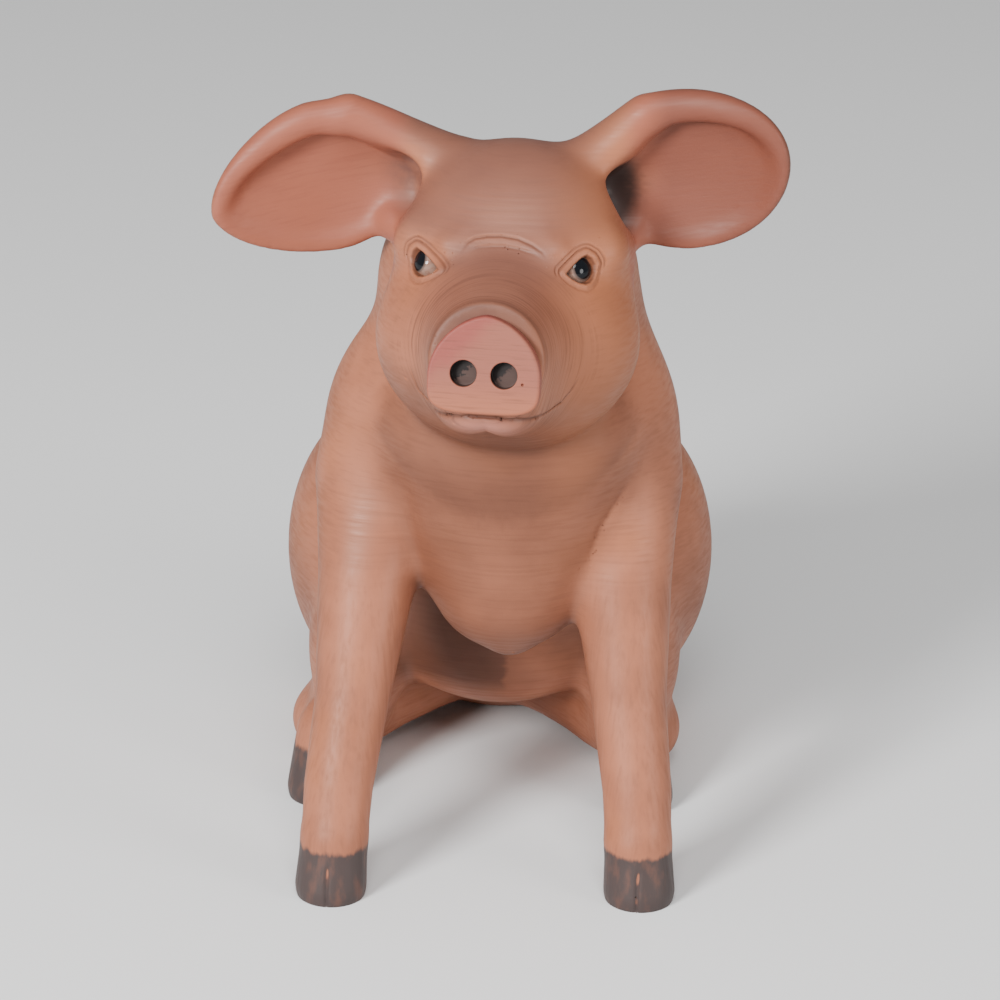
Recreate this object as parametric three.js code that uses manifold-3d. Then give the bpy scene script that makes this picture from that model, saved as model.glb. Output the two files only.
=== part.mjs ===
// Carved and painted wooden figure of a sitting pig, in millimetres.
// +Z is up, the pig faces -Y and its left side is +X. The figure stands on Z = 0.
//
// The whole figure is one smooth field: rounded forms, joined by soft blends, like the roughed
// out block of a carver. The field is turned into faces one region at a time, and each region is
// parted from its neighbours by a thin saw cut, so that every named part is a solid of its own.

import * as THREE from "three";
import { mergeVertices } from "three/addons/utils/BufferGeometryUtils.js";
import Module from "manifold-3d";

const wasm = await Module();
wasm.setup();

// ---------------------------------------------------------------- driving dimensions

const KERF = 0.3;              // gap left by each saw cut
const OFF_CENTRE = 3;          // the chest and the head stand this far to the pig's left

const HEAD_CENTRE = [2.5, -45, 228];
const HEAD_PITCH = 12;         // degrees, snout up
const HEAD_TURN = 5.5;         // degrees, to the pig's right
const SNOUT_REACH = 70;        // head centre to the face of the snout disc
const SNOUT_DROP = 18;         // head centre down to the middle of the disc
const DISC_WIDTH = 38;
const DISC_HEIGHT = 33;
const DISC_THICK = 5;
const NOSTRIL_BORE = 9;
const NOSTRIL_APART = 13.6;
const NOSTRIL_DEPTH = 4;
const EYE_RADIUS = 6.2;

const LEG_APART = 112;         // between the middles of the front feet
const HOOF_WIDTH = 26;
const HOOF_TOP = 20;

// ---------------------------------------------------------------- field tools

const rad = THREE.MathUtils.degToRad;
const length3 = (x, y, z) => Math.sqrt(x * x + y * y + z * z);

// Soft minimum: the two forms flow into each other over a band k wide.
function soft(a, b, k) {
  const h = Math.max(k - Math.abs(a - b), 0) / k;
  return Math.min(a, b) - (h * h * h * k) / 6;
}

function softCut(a, b, k) {
  return -soft(-a, b, k);
}

// An egg of three radii, nodding forward by pitch degrees about X.
function egg([cx, cy, cz], [rx, ry, rz], pitch = 0) {
  const c = Math.cos(rad(pitch));
  const s = Math.sin(rad(pitch));
  return (x, y, z) => {
    const dx = x - cx;
    const dy = (y - cy) * c + (z - cz) * s;
    const dz = (z - cz) * c - (y - cy) * s;
    const k0 = length3(dx / rx, dy / ry, dz / rz);
    const k1 = length3(dx / (rx * rx), dy / (ry * ry), dz / (rz * rz));
    return k1 < 1e-9 ? -Math.min(rx, ry, rz) : (k0 * (k0 - 1)) / k1;
  };
}

// A limb that tapers from radius ra at a to radius rb at b, with round ends.
function limb([ax, ay, az], ra, [bx, by, bz], rb) {
  const [ux, uy, uz] = [bx - ax, by - ay, bz - az];
  const l2 = ux * ux + uy * uy + uz * uz;
  const taper = ra - rb;
  const slope = l2 - taper * taper;
  return (x, y, z) => {
    const [px, py, pz] = [x - ax, y - ay, z - az];
    const along = px * ux + py * uy + pz * uz;
    const beyond = along - l2;
    const side2 = length3(px * l2 - ux * along, py * l2 - uy * along, pz * l2 - uz * along) ** 2;
    const k = Math.sign(taper) * taper * taper * side2;
    if (Math.sign(beyond) * slope * beyond * beyond * l2 > k) {
      return Math.sqrt(side2 + beyond * beyond * l2) / l2 - rb;
    }
    if (Math.sign(along) * slope * along * along * l2 < k) {
      return Math.sqrt(side2 + along * along * l2) / l2 - ra;
    }
    return (Math.sqrt((side2 * slope) / l2) + along * taper) / l2 - ra;
  };
}

// A chain of limbs through the points, each [x, y, z, radius].
function chain(points) {
  const links = [];
  for (let i = 1; i < points.length; i++) {
    const [ax, ay, az, ra] = points[i - 1];
    const [bx, by, bz, rb] = points[i];
    links.push(limb([ax, ay, az], ra, [bx, by, bz], rb));
  }
  return (x, y, z) => links.reduce((d, link) => Math.min(d, link(x, y, z)), 1e3);
}

// Forms joined in turn, each [field, width of its blend].
function blended(first, ...others) {
  return (x, y, z) => {
    let d = first(x, y, z);
    for (const [form, k] of others) d = soft(d, form(x, y, z), k);
    return d;
  };
}

// The same form on both sides of the plane x = middle.
const mirrored = (form, middle = 0) => (x, y, z) => form(Math.abs(x - middle), y, z);

// A form made in a frame of its own, placed in the figure by a matrix.
function placed(form, matrix) {
  const e = matrix.clone().invert().elements;
  return (x, y, z) => form(
    e[0] * x + e[4] * y + e[8] * z + e[12],
    e[1] * x + e[5] * y + e[9] * z + e[13],
    e[2] * x + e[6] * y + e[10] * z + e[14],
  );
}

// ---------------------------------------------------------------- head

const headFrame = new THREE.Matrix4()
  .makeTranslation(...HEAD_CENTRE)
  .multiply(new THREE.Matrix4().makeRotationZ(rad(-HEAD_TURN)))
  .multiply(new THREE.Matrix4().makeRotationX(rad(-HEAD_PITCH)));

const headForm = blended(
  egg([0, 10, 13], [42, 36, 38]),
  [egg([0, -1, -17], [46, 42, 39]), 14],
  [limb([0, -10, -14], 31, [0, DISC_THICK - SNOUT_REACH, -SNOUT_DROP + 0.5], 19), 12],
  [mirrored(limb([8, 4, -30], 22, [6.5, 19 - SNOUT_REACH, -SNOUT_DROP - 13.5], 12.5)), 9],
  [mirrored(limb([30, -8, 16], 10, [14, -18, 15], 8)), 10],
  [egg([0, 38, 8], [36, 30, 32]), 16],
);
const head = placed(headForm, headFrame);

// ---------------------------------------------------------------- ears

// An ear in its own frame: the origin at its widest line, +X to the tip, +Z up across it, -Y the
// side it opens to.
const EAR_DEPTH = 11;
const DISH_ROUND = 18;         // the carved dish: its roundness front to back
const DISH_FLOOR = 3;          // and how far its floor lies behind the rim
const EAR_BEND = 6;            // how far the tip swings forward

const eased = (value, from, to) => THREE.MathUtils.smoothstep(value, from, to);

// How far out from the middle of the ear's own plane a point lies, 1 on the leaf's outline, and
// how fast that grows. Above its middle the root side is cut back, where the rim comes down to
// the forehead.
function outlineAt(x, z, { root, tip, height, fullness }) {
  const reach = x < 0 ? root * (1 - 0.16 * eased(z / height, -0.4, 0.4)) : tip;
  const [u, v] = [Math.abs(x / reach), Math.abs(z / height)];
  const level = Math.max((u ** fullness + v ** fullness) ** (1 / fullness), 0.01);
  const slope = [(u / level) ** (fullness - 1) / reach, (v / level) ** (fullness - 1) / height];
  return [level, Math.hypot(...slope)];
}

function leaf(shape, depth) {
  return (x, y, z) => {
    const [level, slope] = outlineAt(x, z, shape);
    const out = Math.hypot(level, y / depth);
    return (out * (out - 1)) / Math.hypot(level * slope, y / depth ** 2);
  };
}

// The rolled rim: broad and proud along the top, slim round the tip and set back below. It ends
// short of the root, above and below.
function rolledRim(shape) {
  return (x, y, z) => {
    const [level, slope] = outlineAt(x, z, shape);
    const turn = THREE.MathUtils.radToDeg(
      Math.atan2(z / shape.height, x / (x < 0 ? shape.root : shape.tip)),
    );
    const slim = eased(turn, -40, 95);
    const thick = (2.2 + 3.2 * slim) * (1 - eased(Math.abs(turn), 105, 150));
    const back = 1.8 - 4.3 * eased(turn, -20, 60);
    return Math.hypot((level - 1) / slope + thick, (y - back) * (1 + 0.35 * slim)) - thick;
  };
}

// An ear's shape: root and tip are how far it reaches from its widest line, height is half that
// line, fullness is 2 for an elliptical outline, and curl is how far the tip turns up.
// corner is where the thick upper rim grows from the forehead, and lobe where the lower rim
// meets the cheek, both in the ear's frame.
function earForm(shape, corner, lobe) {
  const { root, tip, height, curl } = shape;
  const outside = leaf(shape, EAR_DEPTH);
  const dish = leaf(
    { ...shape, root: root * 1.5, tip: tip * 1.4, height: height * 1.6 }, DISH_ROUND,
  );
  const rim = rolledRim(shape);
  const upperRoot = limb(
    [corner.x, corner.y, corner.z], 12.5, [-0.35 * root, -1.5, 0.95 * height - 6], 6.5,
  );
  const lowerRoot = limb([lobe.x, lobe.y, lobe.z], 7, [12 - root, 7, -0.55 * height], 4.5);
  return (x, y, z) => {
    const bend = Math.max(x / tip, 0) ** 2;
    const bent = [x, y + EAR_BEND * bend, z - curl * bend];
    const hollow = dish(bent[0], bent[1] + DISH_ROUND - DISH_FLOOR, bent[2]);
    const cup = softCut(outside(...bent), hollow, 3);
    const edged = soft(cup, soft(rim(...bent), upperRoot(x, y, z), 10), 6);
    return soft(edged, lowerRoot(x, y, z), 8);
  };
}

// The pit that runs from the hollow of the ear into the side of the head. depth moves it from
// the ear towards the head.
const earPit = ({ root, depth }) => chain([
  [17 - root - depth, -7, -13, 5 + depth / 6], [15 - root - depth, -7.5, -4, 6 + depth / 3],
  [28 - root, -14, -3, 14],
]);

// side: +1 for the pig's left ear. lift raises the tip, swing takes it forward, nod tips the
// hollow down.
function earFrame(side, [x, y, z], lift, swing, nod) {
  return new THREE.Matrix4()
    .makeTranslation(x, y, z)
    .multiply(new THREE.Matrix4().makeScale(side, 1, 1))
    .multiply(new THREE.Matrix4().makeRotationZ(rad(-swing)))
    .multiply(new THREE.Matrix4().makeRotationY(rad(-lift)))
    .multiply(new THREE.Matrix4().makeRotationX(rad(nod)));
}

const EARS = [
  {
    frame: earFrame(-1, [-63, -21.5, 259], -17.5, 6, 6),
    root: 41, tip: 41.5, height: 28, fullness: 1.65, curl: 0,
    corner: [-20, -22, 262.3], lobe: [-38, -17, 242], depth: 1,
  },
  {
    frame: earFrame(1, [61.5, -22.5, 265.6], 9, 6, 6),
    root: 32, tip: 37, height: 29.4, fullness: 2, curl: 3,
    corner: [26, -24, 262.3], lobe: [42, -18, 242], depth: 7,
  },
];
for (const ear of EARS) {
  const inEar = ear.frame.clone().invert();
  const [corner, lobe] = [ear.corner, ear.lobe]
    .map((point) => new THREE.Vector3(...point).applyMatrix4(inEar));
  ear.form = placed(earForm(ear, corner, lobe), ear.frame);
  ear.pit = placed(earPit(ear), ear.frame);
}

// ---------------------------------------------------------------- body

const neck = limb([1, 2, 213], 47, [OFF_CENTRE, 18, 170], 52);
const throat = egg([OFF_CENTRE, -26, 168], [46, 35, 32], -15);
const chest = chain([
  [OFF_CENTRE, -6, 142, 47],
  [OFF_CENTRE + 1, -18, 110, 29],
  [OFF_CENTRE + 2, -24, 93, 13],
]);
const belly = egg([0, 62, 67], [52, 46, 42]);
const barrel = limb([0, 34, 152], 57, [0, 92, 84], 58);
const pelvis = egg([0, 118, 49], [58, 48, 52]);
const shoulders = mirrored(egg([38, 4, 152], [27, 34, 46], 10));
const haunches = mirrored(egg([41.5, 84, 77], [41, 50, 60], 12), -1);
const knees = mirrored(egg([52, 44, 50], [19, 27, 36], 20), -1.5);
const thighs = mirrored(limb([26, 90, 26], 21, [60, 50, 17], 15), -4);

// The left front leg is planted a little further back than the right one.
function frontLeg(side) {
  const back = side > 0 ? 4 : 0;
  const upper = chain([
    [42, -8, 140, 24],
    [46, -26, 112, 18],
    [50, -44, 70, 13.5],
    [54, -56, 40, 12.5],
    [55, -62, 22, 12],
  ].map(([x, y, z, r]) => [side * x - 0.7, y + (back * (140 - z)) / 120, z, r]));
  const foot = limb(
    [side * 55 - 0.7, back - 62, 22], 12, [(side * LEG_APART) / 2 - 0.7, back - 64, 4], HOOF_WIDTH / 2,
  );
  return blended(upper, [foot, 3]);
}
const frontLegs = [frontLeg(-1), frontLeg(1)];

// The hind feet are planted a little to the pig's right.
const HIND_MIDDLE = -5;
const hindLegs = mirrored(blended(
  chain([
    [50, 98, 14, 14],
    [50, 62, 18, 13.5],
    [57.5, 24, 26, 11],
  ]),
  [limb([59, 23, 24], 11.5, [60.5, 17, 4], HOOF_WIDTH / 2), 3],
), HIND_MIDDLE);

const body = blended(
  barrel,
  [pelvis, 16],
  [neck, 22],
  [chest, 16],
  [throat, 22],
  [belly, 12],
  [shoulders, 16],
  [haunches, 14],
  [knees, 14],
  [frontLegs[0], 12],
  [frontLegs[1], 12],
  [thighs, 12],
  [hindLegs, 12],
);

// The tail springs from the rump and curls once, well clear of it.
const TAIL_ROOT = [0, 160, 74];
const TAIL_CURL = 10;          // radius of the curl
const tailPoints = [[0, 154, 72, 5.5], [0, 166, 77, 4.6]];
for (let i = 0; i <= 14; i++) {
  const turn = rad(-90 + 28 * i);
  tailPoints.push([
    TAIL_CURL * Math.cos(turn) + 1, TAIL_ROOT[1] + 10 + i * 0.7,
    TAIL_ROOT[2] + 13 + TAIL_CURL * Math.sin(turn), 4.2 - 0.15 * i,
  ]);
}
const tail = chain(tailPoints);

function flesh(x, y, z) {
  let d = soft(body(x, y, z), head(x, y, z), 11);
  for (const ear of EARS) {
    d = soft(d, ear.form(x, y, z), 10);
    d = softCut(d, ear.pit(x, y, z), 11);
  }
  return soft(d, tail(x, y, z), 4);
}

// ---------------------------------------------------------------- field to faces

const FIGURE_LOW = [-115, -135, -12];
const FIGURE_HIGH = [115, 205, 310];

// Faces of a field inside a box, by surface nets: one vertex in each cell that the surface
// crosses, slid onto the surface itself. A cell has a size along each of X, Y and Z.
function facesOf(field, low, high, cell, shift) {
  const start = low.map((value, i) => value - cell[i] * (1.2 + shift));
  const count = high.map((value, i) => (
    Math.ceil((value + cell[i] * 1.2 - start[i]) / cell[i]) + 1
  ));
  const inside = (x, y, z) => Math.max(
    field(x, y, z), low[0] - x, x - high[0], low[1] - y, y - high[1], low[2] - z, z - high[2],
  );
  const id = (i, j, k) => (i * count[1] + j) * count[2] + k;
  const at = (i, j, k) => [
    start[0] + i * cell[0], start[1] + j * cell[1], start[2] + k * cell[2],
  ];
  const value = new Float64Array(count[0] * count[1] * count[2]);
  const each = (size, visit) => {
    for (let i = 0; i < size[0]; i++) {
      for (let j = 0; j < size[1]; j++) {
        for (let k = 0; k < size[2]; k++) visit(i, j, k);
      }
    }
  };
  each(count, (i, j, k) => {
    value[id(i, j, k)] = inside(...at(i, j, k)) + 1e-7;
  });

  const vertexOf = new Map();
  const positions = [];
  const cells = count.map((n) => n - 1);
  each(cells, (i, j, k) => {
    const corners = [];
    for (let q = 0; q < 8; q++) corners.push(value[id(i + (q >> 2), j + ((q >> 1) & 1), k + (q & 1))]);
    for (const loop of loopsOf(corners.map((v) => v < 0))) {
      const sum = [0, 0, 0];
      for (const edge of loop) {
        const [q, axis] = [Math.floor(edge / 3), edge % 3];
        const t = corners[q] / (corners[q] - corners[q | (4 >> axis)]);
        for (let a = 0; a < 3; a++) sum[a] += ((q >> (2 - a)) & 1) + (a === axis ? t : 0);
        vertexOf.set(24 * id(i, j, k) + edge, positions.length / 3);
      }
      const place = at(i, j, k).map((corner, a) => corner + (sum[a] / loop.length) * cell[a]);
      positions.push(...slidOnto(inside, place, 0.35 * Math.min(...cell)));
    }
  });

  const triangles = [];
  each(cells, (i, j, k) => {
    for (let axis = 0; axis < 3; axis++) {
      const step = [0, 0, 0];
      step[axis] = 1;
      const here = value[id(i, j, k)] < 0;
      if (here === value[id(i + step[0], j + step[1], k + step[2])] < 0) continue;
      const [e, f] = [(axis + 1) % 3, (axis + 2) % 3];
      const around = [[1, 1], [0, 1], [0, 0], [1, 0]].map(([u, v]) => {
        const spot = [i, j, k];
        spot[e] -= u;
        spot[f] -= v;
        return vertexOf.get(24 * id(...spot) + 3 * (u * (4 >> e) + v * (4 >> f)) + axis);
      });
      if (!here) around.reverse();
      triangles.push(around[0], around[1], around[2], around[0], around[2], around[3]);
    }
  });
  return new wasm.Mesh({
    numProp: 3,
    vertProperties: new Float32Array(positions),
    triVerts: new Uint32Array(triangles),
  });
}

// The crossed edges of a cell, gathered into the loops that the surface makes through the cell.
// An edge is three times its lower corner plus its axis; a corner's bits are its x, y and z.
function loopsOf(inside) {
  const loop = new Map();
  const link = (a, b) => {
    const [from, to] = [loop.get(a) ?? [a], loop.get(b) ?? [b]];
    const joined = from === to ? from : [...new Set([...from, ...to])];
    for (const edge of joined) loop.set(edge, joined);
  };
  for (let face = 0; face < 6; face++) {
    const [axis, base] = [face >> 1, face & 1 ? 4 >> (face >> 1) : 0];
    const [u, v] = [4 >> (axis + 1) % 3, 4 >> (axis + 2) % 3];
    const ring = [base, base | u, base | u | v, base | v];
    const crossed = [];
    for (let n = 0; n < 4; n++) {
      const [p, q] = [ring[n], ring[(n + 1) % 4]];
      if (inside[p] === inside[q]) continue;
      const along = [4, 2, 1].indexOf(p ^ q);
      crossed.push({ edge: 3 * (p & q) + along, inner: inside[p] ? p : q });
    }
    for (const a of crossed) {
      for (const b of crossed) {
        if (a !== b && (crossed.length === 2 || a.inner === b.inner)) link(a.edge, b.edge);
      }
    }
  }
  return new Set(loop.values());
}

// Slides a point down the field's slope until it lies on the surface, a short reach at a time.
function slidOnto(field, [x, y, z], reach) {
  const h = 0.02;
  for (let pass = 0; pass < 3; pass++) {
    const d = field(x, y, z);
    const slope = [
      (field(x + h, y, z) - d) / h, (field(x, y + h, z) - d) / h, (field(x, y, z + h) - d) / h,
    ];
    const steep = Math.max(slope[0] ** 2 + slope[1] ** 2 + slope[2] ** 2, 0.1);
    const limit = reach / Math.sqrt(steep);
    const step = THREE.MathUtils.clamp(d / steep, -limit, limit);
    x -= slope[0] * step;
    y -= slope[1] * step;
    z -= slope[2] * step;
  }
  return [x, y, z];
}

// ---------------------------------------------------------------- cuts

function solid(geometry) {
  const bare = geometry.clone();
  bare.deleteAttribute("normal");
  bare.deleteAttribute("uv");
  const merged = mergeVertices(bare, 1e-4);
  return new wasm.Manifold(new wasm.Mesh({
    numProp: 3,
    vertProperties: new Float32Array(merged.attributes.position.array),
    triVerts: new Uint32Array(merged.index.array),
  }));
}

function box([x0, y0, z0], [x1, y1, z1]) {
  const geometry = new THREE.BoxGeometry(x1 - x0, y1 - y0, z1 - z0);
  return solid(geometry.translate((x0 + x1) / 2, (y0 + y1) / 2, (z0 + z1) / 2));
}

// Everything on the far side of a plane, moved back from it by gap.
function beyond(point, normal, gap) {
  const REACH = 700;
  const out = new THREE.Vector3(...normal).normalize();
  const geometry = new THREE.BoxGeometry(REACH, REACH, REACH);
  geometry.translate(0, 0, REACH / 2 + gap);
  geometry.applyQuaternion(new THREE.Quaternion().setFromUnitVectors(new THREE.Vector3(0, 0, 1), out));
  return solid(geometry.translate(...point));
}

const both = (...solids) => solids.reduce((a, b) => a.intersect(b));
const flipped = (normal) => normal.map((value) => -value);

// Whether every edge of a mesh lies between two faces only, wherever two sheets come close.
function isPlain({ triVerts }) {
  const uses = new Map();
  for (let i = 0; i < triVerts.length; i++) {
    const [a, b] = [triVerts[i], triVerts[i % 3 === 2 ? i - 2 : i + 1]];
    const edge = Math.min(a, b) * 1e6 + Math.max(a, b);
    uses.set(edge, (uses.get(edge) ?? 0) + 1);
  }
  return [...uses.values()].every((n) => n === 2);
}

// The flesh inside a region: faces about one cell across, then fewer of them, which stay within
// slack of the surface. Where two sheets of the surface share an edge the grid is shifted until
// they part.
function fleshIn(region, [cell, slack]) {
  const { min, max } = both(region, box(FIGURE_LOW, FIGURE_HIGH)).boundingBox();
  const size = [cell, cell, cell];
  const low = min.map((value, i) => value - size[i]);
  const high = max.map((value, i) => value + size[i]);
  let mesh;
  for (let shift = 0; shift < 1; shift += 0.09) {
    mesh = facesOf(flesh, low, high, size, shift);
    if (isPlain(mesh)) break;
  }
  return new wasm.Manifold(mesh).simplify(slack).intersect(region);
}

// Every region is a function of a gap: half the saw cut for the node that fills the region, and
// the same with a minus sign for what is taken from its neighbour.
const OPEN = 300;
const EDGE = KERF / 2;
const NECK_POINT = [0, -12, 205];
const NECK_NORMAL = [0, -0.5, 0.866];
const CHEST_POINT = [0, -50, 139];
const CHEST_NORMAL = [0, -0.52, 0.854];

const headSide = (gap) => beyond(NECK_POINT, NECK_NORMAL, gap);
const belowHead = (gap) => beyond(NECK_POINT, flipped(NECK_NORMAL), gap);
const neckSide = (gap) => beyond(CHEST_POINT, CHEST_NORMAL, gap);
const belowNeck = (gap) => beyond(CHEST_POINT, flipped(CHEST_NORMAL), gap);
const aboveFloor = box([-OPEN, -OPEN, 0], [OPEN, OPEN, OPEN + 100]);

// A box that starts at x = inner on one side of the pig and runs outwards.
function sideBox(side, inner, [y0, z0], [y1, z1]) {
  return side > 0
    ? box([inner, y0, z0], [OPEN, y1, z1])
    : box([-OPEN, y0, z0], [-inner, y1, z1]);
}

const tailRegion = (gap) => both(
  beyond([0, 166, 76], [0, 0.93, 0.37], gap), box([-24, 120, 55], [24, OPEN, 120]),
);

// An ear: outside a plane that follows the side of the head.
const earRegion = (side) => (gap) => both(
  beyond([side * 33, 0, 262], [side * 0.91, 0, 0.41], gap),
  box([-OPEN, -OPEN, 228], [OPEN, OPEN, OPEN + 100]),
);

// Front and hind legs part at a plane that leans forwards to the floor.
const LEGS_POINT = [0, 14, 116];
const LEGS_NORMAL = [0, -0.955, 0.296];

const frontLegRegion = (side) => (gap) => both(
  sideBox(side, 30 + gap, [-OPEN, 0], [OPEN, 116 - gap]),
  beyond(LEGS_POINT, LEGS_NORMAL, gap),
);
const frontHoofRegion = (side) => (gap) => (
  sideBox(side, 30, [-OPEN, 0], [-30, HOOF_TOP - gap])
);

const hindInner = (side) => 34 + side * HIND_MIDDLE;
const hindLegRegion = (side) => (gap) => both(
  sideBox(side, hindInner(side) + gap, [-OPEN, 0], [OPEN, 150]),
  beyond(LEGS_POINT, flipped(LEGS_NORMAL), gap),
  beyond([side * 36, 84, 130], [0, -0.25, -0.97], gap),
);
const hindHoofRegion = (side) => (gap) => (
  sideBox(side, hindInner(side), [-10, 0], [34 - gap, HOOF_TOP - gap])
);

// ---------------------------------------------------------------- snout disc, eyes, hoof slits

// The disc is flat below and domed above, like a D lying on its back.
function discOutline(grow) {
  const shape = new THREE.Shape();
  const squared = (value, power) => Math.sign(value) * Math.abs(value) ** power;
  for (let i = 0; i < 24; i++) {
    const turn = rad(15 * i);
    const low = Math.sin(turn) < 0;
    const x = (DISC_WIDTH / 2 + grow) * squared(Math.cos(turn), low ? 0.5 : 1.25);
    const rise = low ? DISC_HEIGHT * 0.36 : DISC_HEIGHT * 0.64;
    const y = (rise + grow) * squared(Math.sin(turn), low ? 0.5 : 1) - DISC_HEIGHT * 0.14;
    if (i === 0) shape.moveTo(x, y);
    else shape.lineTo(x, y);
  }
  shape.closePath();
  return shape;
}

// A prism of the disc's outline in the figure, from near to far along the snout's axis.
function discPrism(near, far, grow, bevel) {
  const geometry = new THREE.ExtrudeGeometry(discOutline(grow - bevel), {
    depth: far - near - 2 * bevel, bevelEnabled: bevel > 0, bevelThickness: bevel, bevelSize: bevel,
    bevelSegments: 1, steps: 1,
  });
  geometry.rotateX(Math.PI / 2);
  geometry.translate(0, -near - bevel, -SNOUT_DROP);
  return solid(geometry.applyMatrix4(headFrame));
}

function nostril(side) {
  const geometry = new THREE.CylinderGeometry(NOSTRIL_BORE / 2, NOSTRIL_BORE / 2, 2 * NOSTRIL_DEPTH, 16);
  geometry.translate((side * NOSTRIL_APART) / 2, -SNOUT_REACH, -SNOUT_DROP - 3);
  return solid(geometry.applyMatrix4(headFrame));
}

const EYE_PLACES = [
  { name: "eye_right", at: [-25.5, -17.7, 8.5] },
  { name: "eye_left", at: [23.2, -19, 9.5] },
];

function eyeBall(place, radius) {
  const geometry = new THREE.SphereGeometry(radius, 12, 8);
  return solid(geometry.translate(...place).applyMatrix4(headFrame));
}

// A hoof, with the slit that parts its two toes. x and front are the middle of its front edge.
function hoof(region, x, front) {
  const slit = box([x - 0.8, front - 20, -1], [x + 0.8, front + 6, HOOF_TOP - 4]);
  return fleshIn(region, CELL.hoof).subtract(slit);
}

// ---------------------------------------------------------------- paint

const paint = (color, roughness = 0.5) => (
  new THREE.MeshStandardMaterial({ color, roughness, metalness: 0 })
);
const PINK = 0xc08e78;
const DEEP_PINK = 0xb98074;
const GREY = 0x5b4f4c;
const GLASS_DARK = 0x14161a;

// A cut can leave a film of no thickness along an edge, which the largest body leaves behind.
const largest = (manifold) => (
  manifold.decompose().reduce((a, b) => (b.volume() > a.volume() ? b : a))
);

const pieces = [];
function addPiece(name, manifold, color, roughness) {
  pieces.push({ name, manifold: largest(manifold), color, roughness });
}

// ---------------------------------------------------------------- the figure

const noseCut = (gap) => {
  const geometry = new THREE.BoxGeometry(200, 100, 200);
  geometry.translate(0, DISC_THICK - SNOUT_REACH + gap - 50, 0);
  return solid(geometry.applyMatrix4(headFrame));
};

// Cell and slack, both finer where the forms are smaller.
const CELL = {
  head: [4.2, 1], ear: [2.4, 0.75], neck: [9, 1.5], trunk: [8, 1.5], leg: [5, 0.9],
  haunch: [6.5, 1.3], hoof: [5, 0.8], tail: [1.8, 0.6],
};
const SIDES = [[-1, "right"], [1, "left"]];

function buildHead() {
  const block = box([-56, -OPEN, 100], [56, OPEN, OPEN]);
  let head = fleshIn(both(headSide(EDGE), block), CELL.head).subtract(noseCut(EDGE));
  for (const [side] of SIDES) head = head.subtract(earRegion(side)(-EDGE));
  for (const { at } of EYE_PLACES) head = head.subtract(eyeBall(at, EYE_RADIUS + KERF));
  return head;
}

function buildTrunk() {
  let trunk = fleshIn(both(belowNeck(EDGE), aboveFloor), CELL.trunk).subtract(tailRegion(-EDGE));
  for (const [side] of SIDES) {
    trunk = trunk.subtract(frontLegRegion(side)(-EDGE)).subtract(hindLegRegion(side)(-EDGE));
  }
  return trunk;
}

const disc = discPrism(SNOUT_REACH - DISC_THICK + EDGE, SNOUT_REACH, 0, 1)
  .subtract(nostril(-1)).subtract(nostril(1));

addPiece("head", buildHead(), PINK);
addPiece("snout_disc", disc, DEEP_PINK);
for (const { name, at } of EYE_PLACES) addPiece(name, eyeBall(at, EYE_RADIUS), GLASS_DARK, 0.08);
addPiece("neck", fleshIn(both(belowHead(EDGE), neckSide(EDGE)), CELL.neck), PINK);
addPiece("trunk", buildTrunk(), PINK);
addPiece("tail", fleshIn(tailRegion(EDGE), CELL.tail), PINK);
for (const [side, word] of SIDES) {
  addPiece(`ear_${word}`, fleshIn(both(earRegion(side)(EDGE), headSide(EDGE)), CELL.ear), PINK);
  const front = both(frontLegRegion(side)(EDGE), belowNeck(EDGE));
  addPiece(
    `front_leg_${word}`, fleshIn(front, CELL.leg).subtract(frontHoofRegion(side)(-EDGE)), PINK,
  );
  const frontHoof = hoof(frontHoofRegion(side)(EDGE), side * 56 - 0.7, side > 0 ? -73 : -77);
  addPiece(`front_hoof_${word}`, frontHoof, GREY);
  const hind = both(hindLegRegion(side)(EDGE), belowNeck(EDGE));
  addPiece(
    `hind_leg_${word}`, fleshIn(hind, CELL.haunch).subtract(hindHoofRegion(side)(-EDGE)), PINK,
  );
  const hindHoof = hoof(hindHoofRegion(side)(EDGE), side * 60.5 + HIND_MIDDLE, 4);
  addPiece(`hind_hoof_${word}`, hindHoof, GREY);
}

const figure = new THREE.Group();
for (const { name, manifold, color, roughness } of pieces) {
  const { vertProperties, triVerts } = manifold.getMesh();
  const geometry = new THREE.BufferGeometry();
  geometry.setAttribute("position", new THREE.BufferAttribute(new Float32Array(vertProperties), 3));
  geometry.setIndex(new THREE.BufferAttribute(new Uint32Array(triVerts), 1));
  geometry.computeVertexNormals();
  const mesh = new THREE.Mesh(geometry, paint(color, roughness));
  mesh.name = name;
  figure.add(mesh);
}

// The middle of the figure's box stands over the origin.
const bounds = new THREE.Box3().setFromObject(figure);
const middle = bounds.getCenter(new THREE.Vector3());
figure.position.set(-middle.x, -middle.y, -bounds.min.z);
figure.updateMatrixWorld(true);

export default figure;
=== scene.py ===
# A carved and painted wooden figure of a sitting pig, about 30 cm tall.
# The file follows the figure as a carver makes it: the block, the skin with its fine carving
# and its paint, the snout disc, the eyes, then the table it stands on and the light round it.

import math

import bmesh
import bpy
import numpy as np
from mathutils import Matrix, Vector


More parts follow.
